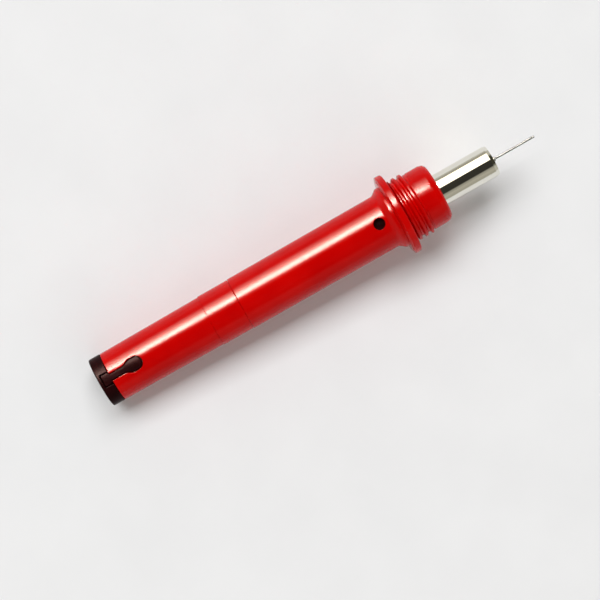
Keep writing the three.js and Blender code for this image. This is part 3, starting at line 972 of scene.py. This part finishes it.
def make_lever_spring():
    """A bent leaf that hooks over the spigot's end and lifts the lever's head."""
    back, front, half = SPANS["lever_spring"]
    gauge, low, heel = LEAF["gauge"], LEAF["low"], LEAF["heel"]
    outline = [
        (back, LEAF["tip"] - gauge),
        (heel, low, 0.8),
        (front, low, 0.3),
        (front, LEAF["hook"]),
        (front - gauge, LEAF["hook"]),
        (front - gauge, low + gauge, 0.1),
        (heel, low + gauge, 0.8),
        (back, LEAF["tip"]),
    ]
    sides = [[point(x, y, z) for x, z in closed(soften(outline))] for y in (-half, half)]
    skin = Skin()
    skin.grid(sides)
    for side in sides:
        skin.face(side[:-1])
    stretch(skin, "lever_spring", "lever", "barrel", back, heel)


def stretch(skin, node, moving, fixed, start, end):
    """A spring's piece in its own finish, set in place of its node where it was built; it does not give. The
    moving and fixed bodies are not used.
    """
    name = node + "_skin"
    made = show(name, skin.data(name))
    made.data.materials.append(LOOKS[SLOTS[node]])
    tuple(point(start, 0, 0))
    tuple(point(end, 0, 0))
    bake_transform(made)
    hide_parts(node)


# ------------------------------------------------------------------ camera, light and floor

def make_camera():
    """Almost straight above the pump, turned so that the pump rises to the right."""
    turn = math.radians(CAMERA["turn"])
    lean = math.radians(CAMERA["lean"])
    away = Vector((math.sin(lean), 0, -math.cos(lean)))
    right = Vector((math.cos(turn), math.sin(turn), 0))
    right = (right - away * right.dot(away)).normalized()
    up = right.cross(away)
    data = bpy.data.cameras.new("camera")
    half_field = math.atan(CAMERA["field"] / 2 / CAMERA["distance"])
    data.lens = data.sensor_width / 2 / math.tan(half_field)
    camera = show("camera", data)
    place = point(CAMERA["station"], CAMERA["aside"], 0) - away * CAMERA["distance"] * MM
    camera.matrix_world = Matrix([(right[i], up[i], -away[i], place[i]) for i in range(3)] + [(0, 0, 0, 1)])
    bpy.context.scene.camera = camera


def make_lamp(name):
    """A soft light tipped over from the zenith. It shows in no reflection: the cards do that."""
    lamp = LAMPS[name]
    data = bpy.data.lights.new(name, "AREA")
    data.shape = "RECTANGLE"
    data.size = lamp["long"]
    data.size_y = lamp["wide"]
    data.energy = lamp["watts"]
    data.color = LAMP_COLOUR
    light = show(name, data)
    tip = math.radians(lamp["angle"])
    light.location = point(LIT_STATION, 0, 0) + Vector((0, math.sin(tip), math.cos(tip))) * lamp["distance"]
    light.rotation_euler = (-tip, 0, 0)
    light.visible_glossy = False


def make_cards():
    """Glowing cards that only reflections see: a bright one over the barrel, and a dim one over the ram.

    They meet where the camera sees the neck's front mirrored.
    """
    neck = SPANS["front_barrel"].front + CARD["past_neck"] - CAMERA["station"]
    split = CAMERA["station"] + neck * (1 + CARD["distance"] / CAMERA["distance"])
    ends = LIT_STATION - CARD["half_length"], LIT_STATION + CARD["half_length"]
    make_card("barrel_card", (ends[0], split), BARREL_GLOW, BARREL_STRENGTH)
    make_card("ram_card", (split, ends[1]), RAM_GLOW, RAM_STRENGTH)


def make_card(name, ends, glow, strength):
    """A card between two stations, bent round the axis. Its glow is given by the angle from the zenith."""
    skin = Skin()
    rows = []
    for degrees in steps(min(glow), max(glow), CARD["facets"]):
        tip = math.radians(degrees)
        y, z = CARD["distance"] * math.sin(tip), CARD["distance"] * math.cos(tip)
        rows.append([point(x, y, z) for x in ends])
    skin.grid(rows)
    card = show(name, skin.data(name))
    card.data.materials.append(card_glow(name, glow, strength))
    card.visible_camera = False
    card.visible_diffuse = False
    card.visible_shadow = False
    card.visible_transmission = False


def card_glow(name, glow, strength):
    """Light that changes with the angle from the zenith."""
    material = bpy.data.materials.new(name)
    material.use_nodes = True
    tree = material.node_tree
    tree.nodes.clear()
    split = tree.nodes.new("ShaderNodeSeparateXYZ")
    tree.links.new(tree.nodes.new("ShaderNodeTexCoord").outputs["Object"], split.inputs["Vector"])
    tip = tree.nodes.new("ShaderNodeMath")
    tip.operation = "ARCTAN2"
    tree.links.new(split.outputs["Y"], tip.inputs[0])
    tree.links.new(split.outputs["Z"], tip.inputs[1])
    share = tree.nodes.new("ShaderNodeMapRange")
    share.inputs["From Min"].default_value = math.radians(min(glow))
    share.inputs["From Max"].default_value = math.radians(max(glow))
    tree.links.new(tip.outputs["Value"], share.inputs["Value"])
    ramp = tree.nodes.new("ShaderNodeValToRGB")
    elements = ramp.color_ramp.elements
    while len(elements) < len(glow):
        elements.new(0.5)
    for element, (degrees, level) in zip(elements, glow.items()):
        element.position = (degrees - min(glow)) / (max(glow) - min(glow))
        element.color = (*(level * part for part in CARD_COLOUR), 1)
    tree.links.new(share.outputs["Result"], ramp.inputs["Fac"])
    shine = tree.nodes.new("ShaderNodeEmission")
    shine.inputs["Strength"].default_value = strength
    tree.links.new(ramp.outputs["Color"], shine.inputs["Color"])
    out = tree.nodes.new("ShaderNodeOutputMaterial")
    tree.links.new(shine.outputs["Emission"], out.inputs["Surface"])
    return material


def make_world():
    """Dim overhead and pale towards the horizon."""
    world = bpy.data.worlds.new("studio")
    bpy.context.scene.world = world
    world.use_nodes = True
    tree = world.node_tree
    split = tree.nodes.new("ShaderNodeSeparateXYZ")
    tree.links.new(tree.nodes.new("ShaderNodeTexCoord").outputs["Generated"], split.inputs["Vector"])
    ramp = tree.nodes.new("ShaderNodeValToRGB")
    for element, (height, colour) in zip(ramp.color_ramp.elements, SKY.items()):
        element.position = height
        element.color = (*colour, 1)
    tree.links.new(split.outputs["Z"], ramp.inputs["Fac"])
    tree.links.new(ramp.outputs["Color"], tree.nodes["Background"].inputs["Color"])


def make_floor():
    """A pale table that touches the flange's rim and the end ring, so it leans against the axis."""
    contact = FLANGE["front"]
    reach, half, spots, pale = FLOOR["reach"], FLOOR["half"], FLOOR["spots"], FLOOR["shade"]
    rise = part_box("end_ring")[0].z / MM
    slope = rise / (reach * math.tanh(contact / reach))
    skin = Skin()
    rows = []
    for u in steps(-1, 1, spots):
        x = LIT_STATION + half * u * abs(u)
        level = slope * reach * math.tanh((contact - x) / reach) - AXIS / MM
        rows.append([point(x, half * v * abs(v), level) for v in steps(-1, 1, spots)])
    skin.grid(rows)
    floor = show("floor", skin.data("floor"))
    material, tree, shader, place = nodes_of("floor", pale, 0.6, 0)
    shader.inputs["Specular IOR Level"].default_value = 0.0
    cloud = noise(tree, place, (1, 1, 1), 30)
    tint(tree, shader, cloud, tuple(c - 0.01 for c in pale), tuple(c + 0.01 for c in pale))
    floor.data.materials.append(material)


# ------------------------------------------------------------------ everything

make_camera()
make_world()
for name in LAMPS:
    make_lamp(name)
make_cards()
make_floor()
bpy.context.scene.view_settings.view_transform = "Standard"

make_end_ring()
make_rear_barrel()
make_collar()
make_front_barrel()
make_gland_nut()
make_ring_screw()
make_release_lever()
make_ram()
make_knob()
make_sleeve()
make_main_spring()
make_lever_spring()

for node, made in frame["nodes"].items():
    for material_slot in made.material_slots:
        material_slot.material = LOOKS[SLOTS[node]]
